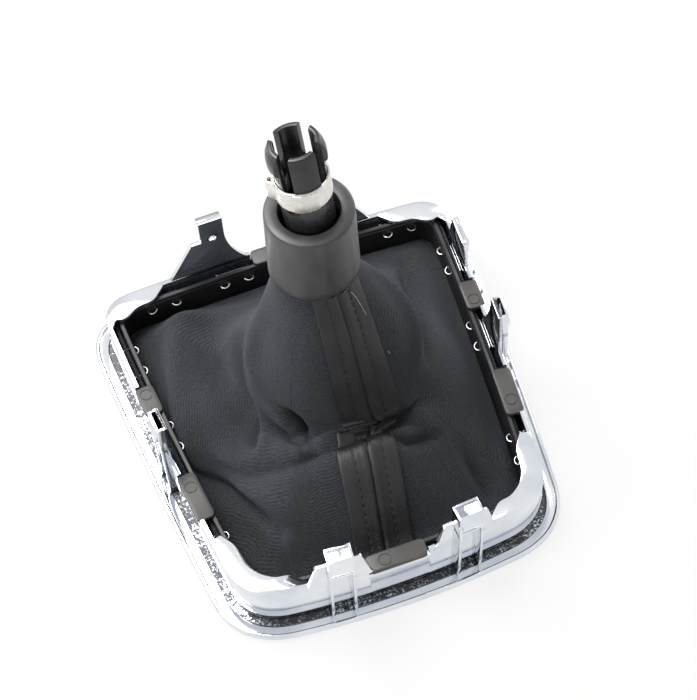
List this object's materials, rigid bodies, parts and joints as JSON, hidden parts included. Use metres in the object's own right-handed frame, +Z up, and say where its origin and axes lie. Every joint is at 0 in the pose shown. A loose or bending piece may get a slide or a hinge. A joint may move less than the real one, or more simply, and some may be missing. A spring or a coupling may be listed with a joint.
{
  "type": "gear lever gaiter",
  "caption": "Gear lever gaiter lying face down and inside out: a plated trim ring with snap clips, a stapled frame, a folded cloth sleeve, and a collar with a slotted lever neck.",
  "frame": {"origin": "centre of the trim ring's outline, on the surface that its rolled lip lies on", "axes": "+X across the ring towards its side with two snap clips, +Y along the ring towards its wide end with the two tall plates, +Z up along the lever neck"},
  "size_m": [0.1656, 0.1744, 0.1728],
  "materials": {
    "chrome": "satin plated",
    "frame_plastic": "moulded, dull",
    "knit": "fine knitted backing",
    "leather": "smooth, slight sheen",
    "staple_steel": "drawn wire",
    "satin_plastic": "satin moulding",
    "gloss_plastic": "polished moulding",
    "clamp_steel": "bright rolled strip"
  },
  "bodies": {
    "root": {"trim_ring": "chrome", "gaiter_frame": "frame_plastic", "staple_01": "staple_steel", "staple_02": "staple_steel", "staple_03": "staple_steel", "staple_04": "staple_steel", "staple_05": "staple_steel", "staple_06": "staple_steel", "staple_07": "staple_steel", "staple_08": "staple_steel", "staple_09": "staple_steel", "staple_10": "staple_steel", "staple_11": "staple_steel", "staple_12": "staple_steel", "staple_13": "staple_steel", "gaiter": "knit", "seam_strip": "leather", "gaiter_tie_ring": "frame_plastic", "collar_sleeve": "satin_plastic", "lever_neck": "gloss_plastic", "ear_clamp": "clamp_steel", "knob_grip": "leather", "knob_ring": "chrome", "knob_cap": "gloss_plastic"}
  },
  "joints": []
}
